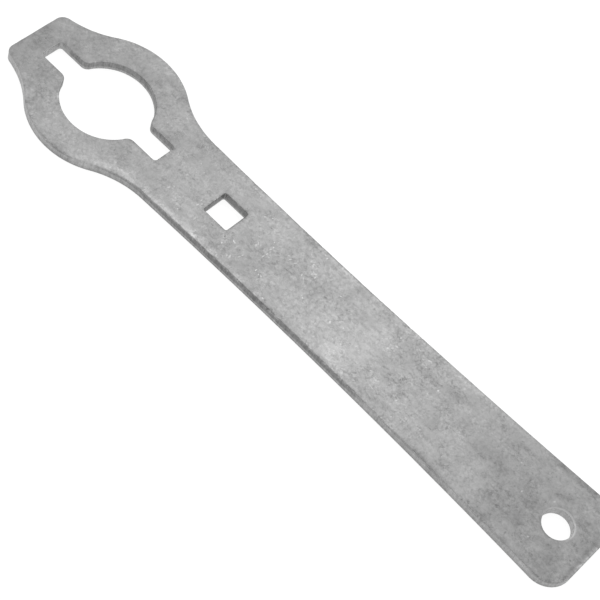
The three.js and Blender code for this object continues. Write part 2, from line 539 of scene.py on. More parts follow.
@dataclass
class BlankedEdge(CutEdge):
    """A wall that a punch cut, with rounded edges.

    It is smooth and dark where the punch burnished it, a darkness that is partly painted shade of a wall
    turned from the light, and lighter where the steel broke away below that, leaning in a little towards
    the underside.

    Attributes:
        burnish: How dark the punch burnished the wall, partly painted shade of a wall turned from the light.
        burnish_share: Share of the wall that is burnished where the burnish is deep.
        burnish_fades: The x where the deep burnish starts, is full, is still full and has gone.
        line_fades: The x where the dark line under the top edge starts and is full.
        edge_dirt: How dark the broken line along the top edge is.
        foot_shade: How dark the foot of the wall is painted, a painted contact shadow where it meets the
            floor.
        far_side_lift: How much less grime lies along the edges that face +Y, painted lighter there for how
            the light falls on them.
        edge_wear_and_highlight: How bright the top edge is worn away from the deep burnish, partly wear and
            partly a painted highlight on the rounded edge.
        nicks: Number of nicks along the top edge, and of dark specks.
        top_radius: Radius of the rounding at the top face.
    """

    burnish: float = 1.0
    burnish_share: float = 0.57
    burnish_fades: Sequence[float] = EVERYWHERE
    line_fades: Sequence[float] = EVERYWHERE[:2]
    edge_dirt: float = 0.0
    foot_shade: float = 0.0
    far_side_lift: float = 0.0
    edge_wear_and_highlight: float = 0.35
    nicks: int = 0
    top_radius: float = 0.42 * MM

    # The rounding at the underside, how much both change, and what is left of the top one away from
    # the deep burnish
    under_radius: float = 0.12 * MM
    radius_change: float = 0.3
    least_round: float = 0.4

    # How much of the wall is burnished away from the deep burnish, and how dark that is
    least_share: float = 0.2
    share_change: float = 0.05
    share_limits: Span = (0.18, 0.9)
    faded_burnish: float = 0.45
    fade_change: float = 0.6

    # The broken part: how dark it is against the burnish, the step above it, its lean, its roughness
    break_burnish: float = 0.3
    step_height: float = 0.1 * MM
    step_inset: float = 0.02 * MM
    lean: float = 0.03 * MM
    break_depth: float = 0.05 * MM

    # Nicks: half length, depth, the depth that shows in full, and the lead of the bite at the face
    nick_reach: Span = (0.25 * MM, 0.8 * MM)
    nick_depth: Span = (0.02 * MM, 0.08 * MM)
    full_nick: float = 0.06 * MM
    bite_lead: float = 0.15

    # How much of the top edge the broken line covers, what is left of it away from the deep burnish,
    # what is left of the grime without a dark line, and the share of each on the flat face
    stroke: float = 0.4
    stroke_change: float = 1.3
    faded_dirt: float = 0.5
    least_grime: float = 0.4
    guard_grime: float = 0.7
    guard_dirt: float = 0.6

    def __post_init__(self) -> None:
        """Works out the shape and the wear of the edge at each point of its outline."""
        rng = random.Random(self.seed)
        line, deep = self.dark_line(), self.deep_burnish()
        change = 1 + self.radius_change * self.vary(Change.RADIUS)
        self.radius = self.top_radius * change * rising(self.least_round, deep)
        self.under = self.under_radius * change
        self.streak = self.uneven(self.streak_depth, Change.STREAK)
        faded = np.clip(self.faded_burnish + self.fade_change * self.vary(Change.FADE), 0, 1)
        # The wall's dark burnish, partly painted shade of a wall turned from the light
        self.dark = self.burnish * line * rising(faded, deep)
        share = self.least_share + (self.burnish_share - self.least_share) * deep
        share = share + self.share_change * self.vary(Change.SHARE)
        self.burnished = np.clip(share, *self.share_limits) * self.thickness
        self.nick = self.nick_strength(rng)
        # Where the dark line has not come up, at the nose, the edge is painted twice as bright: wear, and a
        # painted highlight where the light falls on the nose
        worn_and_lit = self.edge_wear_and_highlight * (1 - line * deep) * (2 - line)
        self.shine = np.maximum(np.clip(self.nick / self.full_nick, 0, 1), worn_and_lit)
        stroke = np.clip(self.stroke + self.stroke_change * self.vary(Change.STROKE), 0, 1)
        stroke = self.edge_dirt * line * stroke * rising(self.faded_dirt, deep)
        self.darkening = np.maximum(np.clip(self.nick_strength(rng) / self.full_nick, 0, 1), stroke)
        # Grime along the edges, painted lighter where an edge faces +Y for how the light falls on it
        self.grime = rising(self.least_grime, line) * (1 - self.far_side_lift * self.facing_far())
        # Painted contact shadow at the foot of the wall, where it meets the floor
        self.foot = self.foot_shade * line

    def deep_burnish(self) -> np.ndarray:
        """Gives how far the deep burnish has come up and not yet gone, at each point of the outline."""
        start, full, still, gone = self.burnish_fades
        return smooth_step(self.outline[:, 0], start, full) * smooth_step(self.outline[:, 0], gone, still)

    def dark_line(self) -> np.ndarray:
        """Gives how far the dark line under the top edge has come up, at each point of the outline."""
        return smooth_step(self.outline[:, 0], *self.line_fades)

    def distance_along(self) -> np.ndarray:
        """Gives how far round the outline each point is, and the whole way round as a last value."""
        steps = np.linalg.norm(np.roll(self.outline, -1, axis=0) - self.outline, axis=1)
        return np.concatenate(((0.0,), np.cumsum(steps)))

    def nick_strength(self, rng: random.Random) -> np.ndarray:
        """Scatters nicks along one edge.

        Args:
            rng: Source of the places and sizes.

        Returns:
            Depth of the nicks at each point of the outline.
        """
        distance = self.distance_along()
        whole = distance[-1]
        depth = np.zeros(len(self.outline))
        for _ in range(self.nicks):
            middle = rng.uniform(0, whole)
            half_length = rng.uniform(*self.nick_reach)
            deepest = rng.uniform(*self.nick_depth)
            away = np.abs(distance[:-1] - middle)
            away = np.minimum(away, whole - away) / half_length
            depth = np.maximum(depth, deepest * np.clip(1 - away**2, 0, 1) ** 2)
        return depth

    def add_rows(self) -> None:
        """Adds the rounded top edge, the two parts of the wall and the rounded foot."""
        self.round_top()
        self.drop_wall()
        self.round_foot()

    def round_top(self) -> None:
        """Adds the strip of top face along the edge and the rounding that leads down from it."""
        strip = {"edge": self.guard_grime * self.grime, "scratch": self.guard_dirt * self.darkening}
        self.profile.row(self.radius + self.guard, self.thickness, **strip)
        for share in shares(self.round_steps):
            angle = share * math.pi / 2
            bite = self.nick * math.sin(math.pi * min(share + self.bite_lead, 1.0))
            self.profile.row(
                self.radius * (1 - math.sin(angle)) + self.streak * share**2 + bite,
                self.thickness - self.radius * (1 - math.cos(angle)) - bite,
                wall=share, burnish=self.dark, edge=self.grime,
                nick=self.shine * math.sin(math.pi * share), scratch=self.darkening * math.cos(angle),
            )

    def drop_wall(self) -> None:
        """Adds the burnished part of the wall, the step below it and the broken part."""
        top = self.thickness - self.radius
        split = np.minimum(self.thickness - self.burnished, top - self.step_height)
        for share in shares(self.wall_steps, 1):
            self.profile.row(self.streak, top + (split - top) * share, wall=1.0, burnish=self.dark)
        crest = split - self.step_height
        for share in shares(self.wall_steps):
            height = crest + (self.under - crest) * share
            rough = self.uneven(self.break_depth, Change.BREAK, np.column_stack((self.outline, height)))
            back = self.step_inset + self.lean * share + rough * (1 - share)
            # The lower broken part darkens towards the foot with the painted contact shadow
            broken = {"burnish": self.dark * self.break_burnish, "scratch": self.foot * share**2}
            self.profile.row(back, height, wall=1.0, **broken)

    def round_foot(self) -> None:
        """Adds the rounding at the foot of the wall and the strip of underside along it."""
        foot = self.step_inset + self.lean
        # The rounding at the foot carries the painted contact shadow
        for share in shares(self.round_steps, 1):
            angle = share * math.pi / 2
            self.profile.row(
                foot + self.under * (1 - math.cos(angle)),
                self.under * (1 - math.sin(angle)),
                wall=1 - share, edge=1.0, scratch=self.foot * (1 - share),
            )
        self.profile.row(foot + self.under + self.guard, 0.0, edge=self.guard_grime)


@dataclass
class DrilledEdge(CutEdge):
    """A drilled wall whose rims are dished at both faces.

    Attributes:
        dish_width: Width of a rim.
        dish_depth: Depth of a rim.
        dish_curve: How hollow a rim is; 1 makes a plain cone.
        lip: How near to its lip a rim starts to look like wall.
        wear_and_highlight: How bright a rim is painted on the side that faces the light, a painted
            highlight.
        shaded_way: The way that the least lit part of a rim faces, where the painted highlight is weakest.
        darkening: How dark the top rim is painted where it faces +Y, a painted shade.
    """

    dish_width: float = 0.7 * MM
    dish_depth: float = 0.12 * MM
    dish_curve: float = 1.4
    lip: float = 3.0
    wear_and_highlight: float = 1.0
    shaded_way: Span = (-0.5, 0.87)
    darkening: float = 0.9

    def add_rows(self) -> None:
        """Adds the top rim, the wall and the bottom rim."""
        even = np.ones(len(self.outline))
        # Painted highlight on the side of each rim that faces the light, and painted shade on the top rim
        # where it faces +Y
        worn_and_lit = self.wear_and_highlight * (1 - self.air() @ self.shaded_way) / 2
        far_shade = self.darkening * self.facing_far()
        drilled = -self.uneven(self.streak_depth, Change.DRILLING)
        tall = self.thickness - 2 * self.dish_depth
        dish = []
        for share in shares(self.round_steps):
            inset = even * self.dish_width * (1 - share)
            dish.append((inset, self.dish_depth * share**self.dish_curve, share**self.lip, math.sqrt(share)))

        self.profile.row(even * (self.dish_width + self.guard), self.thickness)
        for inset, sunk, wall, mark in dish:
            self.profile.row(inset, self.thickness - sunk, wall=wall, nick=worn_and_lit * mark, scratch=far_shade * mark)
        for share in shares(2 * self.wall_steps, 1)[:-1]:
            self.profile.row(drilled, self.thickness - self.dish_depth - tall * share, wall=1.0)
        for inset, sunk, wall, mark in reversed(dish):
            self.profile.row(inset, sunk, wall=wall, nick=worn_and_lit * mark)
        self.profile.row(even * (self.dish_width + self.guard), 0.0)


@dataclass(frozen=True)
class Ding:
    """A small dent or scratch that is sunk into a flat face.

    Attributes:
        x: Middle of the dent.
        y: Middle of the dent.
        half_length: Half its length.
        half_width: Half its width.
        turn: Angle of its length from +X, in radians.
        depth: How far its flat bottom is sunk.
        strength: How much its colour stands out.
        trait: Whether it shows bright as a nick or dark as a scratch.
    """

    LEAST_POINTS = 8
    LENGTH_PER_POINT = 0.08 * MM

    x: float
    y: float
    half_length: float
    half_width: float
    turn: float
    depth: float
    strength: float
    trait: Trait = Trait.NICK

    def ring(self, share: float) -> np.ndarray:
        """Draws a ring round the dent.

        Args:
            share: Size of the ring against the dent.

        Returns:
            The points of the ring.
        """
        count = max(self.LEAST_POINTS, math.ceil(self.half_length / self.LENGTH_PER_POINT))
        angle = np.arange(count) * math.tau / count
        along = self.half_length * share * np.cos(angle)
        across = self.half_width * share * np.sin(angle)
        x = self.x + along * math.cos(self.turn) - across * math.sin(self.turn)
        y = self.y + along * math.sin(self.turn) + across * math.cos(self.turn)
        return np.stack((x, y), axis=1)

    def covers(self, points: np.ndarray, margin: float) -> np.ndarray:
        """Says which points lie on the dent or within a margin of it."""
        along, across = turned(points, (self.x, self.y), self.turn)
        return (along / (self.half_length + margin)) ** 2 + (across / (self.half_width + margin)) ** 2 < 1


@dataclass(frozen=True)
class Smudge:
    """A soft patch on a flat face that is darker, or lighter if its strength is below 0; most are stains in
    the plating, and some are painted highlights and painted shade.

    Attributes:
        x: Middle of the patch.
        y: Middle of the patch.
        half_length: Reach along its turn.
        half_width: Reach across its turn.
        turn: Angle of its length from +X, in degrees.
        strength: How dark it is in the middle.
    """

    x: float
    y: float
    half_length: float
    half_width: float
    turn: float
    strength: float

    def at(self, points: np.ndarray) -> np.ndarray:
        """Gives how dark the patch is at each point."""
        along, across = turned(points, (self.x, self.y), math.radians(self.turn))
        return self.strength * np.exp(-((along / self.half_length) ** 2) - (across / self.half_width) ** 2)


class FaceBorder:
    """The closed loops round a flat face: the outer one first, then the holes."""

    def __init__(self, loops: Sequence[np.ndarray]) -> None:
        """Takes the loops and sorts their points for quick searches.

        Args:
            loops: Points round each loop.
        """
        self.loops = loops
        self.tree = kdtree.KDTree(sum(len(loop) for loop in loops))
        for index, (x, y) in enumerate(np.vstack(loops)):
            self.tree.insert((x, y, 0.0), index)
        self.tree.balance()

    def encloses(self, points: np.ndarray) -> np.ndarray:
        """Says which points lie inside the outer loop and outside the holes.

        Args:
            points: Points to test.

        Returns:
            True for each point on the face.
        """
        odd = np.zeros(len(points), bool)
        x, y = points.T
        for loop in self.loops:
            for (ax, ay), (bx, by) in zip(loop, np.roll(loop, -1, axis=0)):
                if ay != by:
                    astride = (ay > y) != (by > y)
                    odd ^= astride & (x < ax + (y - ay) / (by - ay) * (bx - ax))
        return odd

    def distance(self, points: np.ndarray) -> np.ndarray:
        """Gives how far each point is from the nearest point of a loop."""
        return np.array([self.tree.find((x, y, 0.0))[2] for x, y in points])


@dataclass(frozen=True)
class FlatFace:
    """One flat side of the plate, filled between its cut edges, with its dents sunk in.

    Attributes:
        side: Which face it is.
        level: Height of the face.
        dings: The dents to sink; those that don't fit on the face are left out.
        grid: Distance between the points inside the face.
        edge_room: How far those points keep from the edges.
        ding_room: How far they keep from a dent.
        ding_edge_room: How far a dent keeps from the edges.
        bottom_share: Size of a dent's flat bottom against the dent.
    """

    # For Blender's triangles: fill the whole hull, and join points closer than this, in millimetres
    WHOLE_HULL = 0
    JOIN_DISTANCE = 1e-7

    side: Side
    level: float
    dings: Sequence[Ding]
    grid: float = 0.75 * MM
    edge_room: float = 0.4 * MM
    ding_room: float = 0.25 * MM
    ding_edge_room: float = 0.2 * MM
    bottom_share: float = 0.5

    def fitting_dings(self, border: FaceBorder) -> list[Ding]:
        """Finds the dents that lie wholly on the face.

        Args:
            border: The loops round the face.

        Returns:
            The dents that fit.
        """
        places = np.array([(ding.x, ding.y) for ding in self.dings])
        inside = border.encloses(places)
        room = border.distance(places) - self.ding_edge_room
        kept = zip(self.dings, inside, room)
        return [ding for ding, on_face, space in kept if on_face and space > ding.half_length]

    def grid_points(self, border: FaceBorder, dings: Sequence[Ding]) -> np.ndarray:
        """Lays staggered rows of points over the face, clear of its edges and dents.

        Args:
            border: The loops round the face.
            dings: The dents in the face.

        Returns:
            The points, one in each row.
        """
        low = border.loops[0].min(axis=0)
        high = border.loops[0].max(axis=0)
        rise = self.grid * math.sqrt(3) / 2
        rows = []
        for row, y in enumerate(np.arange(low[1], high[1], rise)):
            x = np.arange(low[0] + (row % 2) * self.grid / 2, high[0], self.grid)
            rows.append(np.stack((x, np.full(len(x), y)), axis=1))
        points = np.vstack(rows)
        points = points[border.encloses(points)]
        points = points[border.distance(points) > self.edge_room]
        for ding in dings:
            points = points[~ding.covers(points, self.ding_room)]
        return points

    def build(self, draft: MeshDraft, loops: Sequence[np.ndarray]) -> None:
        """Adds the face to the mesh.

        Args:
            draft: The mesh that holds the edges and takes the face.
            loops: Indexes of the points round each edge, the outer one first.
        """
        placed = draft.points()
        border = FaceBorder([placed[loop, :2] for loop in loops])
        dings = self.fitting_dings(border)
        flat = [self.grid_points(border, dings)]
        sunk = [np.zeros(len(flat[0]))]
        traits = {Trait.NICK: [sunk[0]], Trait.SCRATCH: [sunk[0]]}
        for ding in dings:
            for share, depth in ((1.0, 0.0), (self.bottom_share, ding.depth)):
                ring = ding.ring(share)
                flat.append(ring)
                sunk.append(np.full(len(ring), depth))
                for trait, values in traits.items():
                    shown = depth > 0 and trait is ding.trait
                    values.append(np.full(len(ring), ding.strength if shown else 0.0))
        height = self.level - self.side.value * np.concatenate(sunk)
        added = np.column_stack((np.vstack(flat), height))
        joined = {trait: np.concatenate(values) for trait, values in traits.items()}
        indexes = np.concatenate((*loops, draft.add(added, joined)))
        self.fill(draft, indexes, border)
        log.info("%s face: %d points, %d dents", self.side.name.lower(), len(indexes), len(dings))

    def fill(self, draft: MeshDraft, indexes: np.ndarray, border: FaceBorder) -> None:
        """Joins the points of the face with triangles.

        Args:
            draft: The mesh.
            indexes: The face's points, with those of the loops first.
            border: The loops round the face.
        """
        flat = [Vector(place) for place in draft.points()[indexes, :2] / MM]
        sides = []
        first = 0
        for loop in border.loops:
            count = len(loop)
            sides += [(first + at, first + (at + 1) % count) for at in range(count)]
            first += count
        made = delaunay_2d_cdt(flat, sides, [], self.WHOLE_HULL, self.JOIN_DISTANCE)
        places, triangles, sources = made[0], made[2], made[3]
        corners = np.array([tuple(place) for place in places]) * MM
        middles = corners[np.array(triangles)].mean(axis=1)
        for triangle, kept in zip(triangles, border.encloses(middles)):
            if kept:
                ring = [int(indexes[sources[corner][0]]) for corner in triangle]
                draft.faces.append(tuple(ring[:: self.side.value]))


class Signal:
    """A value that changes over a surface, which Python's arithmetic can work on."""

    def __init__(self, graph: "ShaderGraph", socket: bpy.types.NodeSocket) -> None:
        """Wraps one output socket of a graph."""
        self.graph = graph
        self.socket = socket

    def __add__(self, other: "Number") -> "Signal":
        """Adds a value."""
        return self.graph.math("ADD", self, other)

    def __radd__(self, other: "Number") -> "Signal":
        """Adds to a value."""
        return self.graph.math("ADD", other, self)

    def __sub__(self, other: "Number") -> "Signal":
        """Takes a value away."""
        return self.graph.math("SUBTRACT", self, other)

    def __rsub__(self, other: "Number") -> "Signal":
        """Takes this away from a value."""
        return self.graph.math("SUBTRACT", other, self)

    def __mul__(self, other: "Number") -> "Signal":
        """Multiplies by a value."""
        return self.graph.math("MULTIPLY", self, other)

    def __rmul__(self, other: "Number") -> "Signal":
        """Multiplies a value."""
        return self.graph.math("MULTIPLY", other, self)

    def eased(self, bounds: Span) -> "Signal":
        """Eases it from 0 at the first bound to 1 at the second; the bounds may run either way."""
        sockets = {"Value": self, "From Min": bounds[0], "From Max": bounds[1]}
        return self.graph.node("ShaderNodeMapRange", {"interpolation_type": "SMOOTHSTEP"}, sockets)


Number = Union[Signal, float]
Source = Union[Trait, Noise]
Signals = Mapping[Source, Signal]


@dataclass(frozen=True)
class Blend:
    """A base value, to which shares of traits and noises are added.

    Attributes:
        base: The value without them.
        parts: The share of each trait or noise.
    """

    base: float
    parts: Mapping[Source, float]

    def over(self, signals: Signals) -> Signal:
        """Adds it up from the traits and noises of a surface."""
        return sum((signals[source] * share for source, share in self.parts.items()), self.base)


@dataclass(frozen=True)
class Cloud:
    """The shape of a fractal noise.

    Attributes:
        feature: Size of the largest features, in millimetres.
        detail: How many finer layers there are.
        gain: Strength of each finer layer against the one before.
        sway: How far the features are pulled out of shape.
        squeeze: How much heights count; below 1 the features are drawn out along Z.
    """

    feature: float
    detail: float
    gain: float
    sway: float = 0.0
    squeeze: float = 1.0


class ShaderGraph:
    """The nodes of one material."""

    def __init__(self, name: str) -> None:
        """Starts a material with no nodes.

        Args:
            name: Name of the material.
        """
        self.material = bpy.data.materials.new(name)
        self.material.use_nodes = True
        self.tree = self.material.node_tree
        self.tree.nodes.clear()

    def add(
        self, kind: str, settings: Mapping[str, Any], sockets: Mapping[Union[str, int], Any]
    ) -> bpy.types.ShaderNode:
        """Adds any node.

        Args:
            kind: Type of the node.
            settings: Settings of the node, which are set first.
            sockets: Values or links of the input sockets, by name or place.

        Returns:
            The node.
        """
        made = self.tree.nodes.new(kind)
        for name, value in settings.items():
            setattr(made, name, value)
        for key, value in sockets.items():
            if isinstance(value, Signal):
                self.tree.links.new(value.socket, made.inputs[key])
            else:
                made.inputs[key].default_value = value
        return made

    def node(
        self,
        kind: str,
        settings: Mapping[str, Any],
        sockets: Mapping[Union[str, int], Any],
        output: Union[str, int] = 0,
    ) -> Signal:
        """Adds any node and hands on one of its outputs, by name or place."""
        return Signal(self, self.add(kind, settings, sockets).outputs[output])

    def math(self, operation: str, first: Number, second: Number) -> Signal:
        """Adds a Math node for two values."""
        return self.node("ShaderNodeMath", {"operation": operation}, {0: first, 1: second})

    def vector(self, operation: str, first: Signal, second: Union[Signal, Sequence[float]]) -> Signal:
        """Adds a Vector Math node for two vectors."""
        return self.node("ShaderNodeVectorMath", {"operation": operation}, {0: first, 1: second})

    def trait(self, trait: Trait) -> Signal:
        """Reads one of the mesh's traits."""
        return self.node("ShaderNodeAttribute", {"attribute_name": trait.value}, {}, "Fac")

    def place(self, squeeze: float = 1.0) -> Signal:
        """Gives the place on the object in millimetres, with its height squeezed."""
        spot = self.node("ShaderNodeTexCoord", {}, {}, "Object")
        return self.vector("MULTIPLY", spot, (1 / MM, 1 / MM, squeeze / MM))

    def cloud(self, shape: Cloud) -> Signal:
        """Makes fractal noise about zero.

        Args:
            shape: The shape of the noise.

        Returns:
            The noise, about -0.5 to 0.5.
        """
        sockets = {
            "Vector": self.place(shape.squeeze),
            "Scale": 1 / shape.feature,
            "Detail": shape.detail,
            "Roughness": shape.gain,
            "Distortion": shape.sway,
        }
        return self.node("ShaderNodeTexNoise", {"noise_dimensions": "3D"}, sockets) - 0.5

    def finish(self, sockets: Mapping[str, Any]) -> bpy.types.Material:
        """Adds the shader and joins it to the material's output.

        Args:
            sockets: Values or links of the shader's sockets.

        Returns:
            The finished material.
        """
        shader = self.node("ShaderNodeBsdfPrincipled", {}, sockets)
        self.add("ShaderNodeOutputMaterial", {}, {"Surface": shader})
        return self.material


@dataclass(frozen=True)
class PlatedSteel:
    """Dull zinc plating, mottled by tumbling, on blanked steel with darker cut walls."""

    # Brightness of the faces, of a wall where it is burnished and where it broke, and of bright marks;
    # the dark burnish tone is partly painted shade of walls turned from the light
    face_tone: float = 0.317
    burnish_and_shade_tone: float = 0.212
    break_tone: float = 0.4
    bright_tone: float = 0.56

    # How much it is bare metal, its roughness, and how much smoother the bright marks are
    metallic: float = 1.0
    roughness: Blend = Blend(0.46, {Noise.MOTTLE: 0.3, Noise.SPANGLE: 0.06, Trait.WALL: 0.08})
    bright_gloss: float = 0.1

    # Soft mottling, the finest grain, patches where marks come and go, spots that are pits where they
    # are low and flecks where they are high, and streaks down a wall
    mottle_shape: Cloud = Cloud(18.0, 4.0, 0.95)
    grain_shape: Cloud = Cloud(1.1, 2.0, 0.8, sway=1.0)
    patch_shape: Cloud = Cloud(5.0, 4.0, 0.7)
    spot_shape: Cloud = Cloud(1.3, 1.0, 0.5)
    streak_shape: Cloud = Cloud(0.6, 2.0, 0.75, squeeze=0.12)

    # Crystals of zinc: how many to a millimetre, and how far and how finely their sides are pulled
    spangle_scale: float = 1.5
    spangle_sway: float = 1.4
    sway_scale: float = 1.6
    sway_detail: float = 2.0

    # The faces: mottling, specks and how they come and go, patches, which are stains with painted highlights
    # and painted shade among them, and grime along the edges
    mottle: Blend = Blend(1.3072, {Trait.TUMBLE: 0.516})
    specks: Blend = Blend(0.0, {Noise.GRAIN: 0.79, Noise.SPANGLE: 0.28})
    speck_tumble: Blend = Blend(0.74, {Trait.TUMBLE: 0.5})
    speck_patch: Blend = Blend(1.0, {Noise.PATCH: 3.0})
    stain_and_painted_light: Blend = Blend(0.18, {Noise.PATCH: 0.5, Noise.SPANGLE: 0.12})
    grime: Blend = Blend(0.11, {Noise.PATCH: 0.66, Trait.STAIN_AND_PAINTED_LIGHT: 0.11})

    # Pits: how dark they are, the spots that are pits, and the zone that has them
    pit_depth: float = 0.26
    pit_spots: Span = (-0.16, -0.28)
    pit_zone: Blend = Blend(0.0, {Trait.STAIN_AND_PAINTED_LIGHT: 1.0, Noise.PATCH: 4.0})
    pit_zone_bounds: Span = (0.0, 0.6)

    # The walls: mottling and streaks; and how dark the dark marks are anywhere: scratches, dirt, and the
    # painted shade at the feet of the walls and on the hang hole's far rim
    cut_noise: Blend = Blend(1.0, {Noise.MOTTLE: 0.8, Noise.GRAIN: 0.9})
    streak: Blend = Blend(0.6, {Trait.BURNISH: 0.72})
    scratch: float = 0.3

    # Bright marks: flecks, the spots that are flecks and the zone that has them; worn edges, partly a
    # painted highlight along the rounded edges, and the patches and streaks that are worn; nicks
    flecks: Blend = Blend(0.15, {Trait.TUMBLE: 0.45})
    fleck_spots: Span = (0.17, 0.28)
    fleck_zone: Blend = Blend(0.0, {Noise.PATCH: 1.0, Trait.STAIN_AND_PAINTED_LIGHT: -0.1})
    fleck_zone_bounds: Span = (0.02, 0.15)
    wear_and_highlight: Blend = Blend(0.5, {Trait.STAIN_AND_PAINTED_LIGHT: -0.3})
    wear_patches: Span = (0.0, 0.15)
    wear_streaks: Span = (-0.1, 0.1)
    nick: float = 0.6

    # The fine relief of the faces, of the walls and of both, how much it shows, and its height
    face_relief: Blend = Blend(0.0, {Noise.GRAIN: 1.0, Noise.SPANGLE: 0.3})
    wall_relief: float = 1.2
    mottle_relief: float = 0.6
    bump_strength: float = 0.4
    bump_height: float = 0.06 * MM

    def material(self) -> bpy.types.Material:
        """Makes the material.

        Returns:
            The material of the whole plate.
        """
        graph = ShaderGraph("plated_steel")
        signals = self.signals(graph)
        wall = signals[Trait.WALL]
        face, cut, bright = self.face(signals), self.cut(signals), self.bright(signals)
        tone = (face + wall * (cut - face)) * (1 - signals[Trait.SCRATCH] * self.scratch)
        face_relief = self.face_relief.over(signals) * (1 - wall)
        wall_relief = signals[Noise.STREAK] * wall * self.wall_relief
        height = face_relief + wall_relief + signals[Noise.MOTTLE] * self.mottle_relief
        bump = {"Strength": self.bump_strength, "Distance": self.bump_height, "Height": height}
        surface = {
            "Base Color": tone + bright * (self.bright_tone - tone),
            "Roughness": self.roughness.over(signals) - bright * self.bright_gloss,
            "Metallic": self.metallic,
            "Normal": graph.node("ShaderNodeBump", {}, bump),
        }
        return graph.finish(surface)

    def signals(self, graph: ShaderGraph) -> Signals:
        """Gathers what changes over the plate.

        Args:
            graph: The material's nodes.

        Returns:
            Each trait of the mesh and each noise of the finish.
        """
        return {
            **{trait: graph.trait(trait) for trait in Trait},
            Noise.MOTTLE: graph.cloud(self.mottle_shape),
            Noise.GRAIN: graph.cloud(self.grain_shape),
            Noise.PATCH: graph.cloud(self.patch_shape),
            Noise.SPOT: graph.cloud(self.spot_shape),
            Noise.STREAK: graph.cloud(self.streak_shape),
            Noise.SPANGLE: self.crystals(graph),
        }

    def crystals(self, graph: ShaderGraph) -> Signal:
        """Makes small cells with ragged sides, each of its own brightness.

        Args:
            graph: The material's nodes.

        Returns:
            The brightness of the cells, about -0.5 to 0.5.
        """
        place = graph.place()
        shape = {"Vector": place, "Scale": self.sway_scale, "Detail": self.sway_detail}
        sway = graph.node("ShaderNodeTexNoise", {}, shape, "Color")
        ragged = graph.vector("ADD", place, graph.vector("MULTIPLY", sway, [self.spangle_sway] * 3))
        cells = {"Vector": ragged, "Scale": self.spangle_scale}
        colour = graph.node("ShaderNodeTexVoronoi", {}, cells, "Color")
        return graph.node("ShaderNodeRGBToBW", {}, {"Color": colour}) - 0.5

    def face(self, signals: Signals) -> Signal:
        """Works out the flat faces.

        Args:
            signals: What changes over the plate.

        Returns:
            Their brightness.
        """
        clouds = signals[Noise.MOTTLE] * self.mottle.over(signals)
        specks = self.specks.over(signals) * self.speck_tumble.over(signals) * self.speck_patch.over(signals)
        pit_zone = self.pit_zone.over(signals).eased(self.pit_zone_bounds)
        pits = signals[Noise.SPOT].eased(self.pit_spots) * pit_zone * self.pit_depth
        stain_and_painted_light = signals[Trait.STAIN_AND_PAINTED_LIGHT] * self.stain_and_painted_light.over(signals)
        grime = signals[Trait.EDGE] * self.grime.over(signals)
        return self.face_tone * (1 + clouds + specks) * (1 - stain_and_painted_light) * (1 - pits) * (1 - grime)

    def cut(self, signals: Signals) -> Signal:
        """Works out the cut walls.

        Args:
            signals: What changes over the plate.

        Returns:
            Their brightness.
        """
        tone = self.break_tone + signals[Trait.BURNISH] * (self.burnish_and_shade_tone - self.break_tone)
        streaks = signals[Noise.STREAK] * self.streak.over(signals)
        return tone * (self.cut_noise.over(signals) + streaks)

    def bright(self, signals: Signals) -> Signal:
        """Works out the bright marks: flecks on the faces, worn edges and nicks; the worn edges and the rims
        of the hang hole carry painted highlights.

        Args:
            signals: What changes over the plate.

        Returns:
            How much of the bright tone shows.
        """
        nick = signals[Trait.NICK]
        zone = self.fleck_zone.over(signals).eased(self.fleck_zone_bounds) * (1 - signals[Trait.WALL])
        flecks = signals[Noise.SPOT].eased(self.fleck_spots) * zone * self.flecks.over(signals)
        # Worn edges, partly a painted highlight along the rounded edges
        worn_and_lit = signals[Noise.PATCH].eased(self.wear_patches) * signals[Noise.STREAK].eased(self.wear_streaks)
        worn_and_lit = worn_and_lit * signals[Trait.EDGE] * self.wear_and_highlight.over(signals)
        return nick * self.nick + (flecks + worn_and_lit) * (1 - nick)


@dataclass(frozen=True)
class LightTable:
    """The matt white top of a light table, which glows softly from below.

    Attributes:
        tone: Brightness of the white sheet.
        mottle: Strength of its faint clouding.
        mottle_shape: Shape of that clouding.
        roughness: Roughness of the sheet.
        glow: Light that comes through it.
    """

    tone: float = 0.22
    mottle: float = 0.02
    mottle_shape: Cloud = Cloud(3.0, 3.0, 0.6)
    roughness: float = 0.9
    glow: float = 0.86

    def material(self) -> bpy.types.Material:
        """Makes the material.

        Returns:
            The material of the floor.
        """
        graph = ShaderGraph("light_table")
        surface = {
            "Base Color": self.tone + graph.cloud(self.mottle_shape) * self.mottle,
            "Roughness": self.roughness,
            "Emission Color": WHITE,
            "Emission Strength": self.glow,
        }
        return graph.finish(surface)


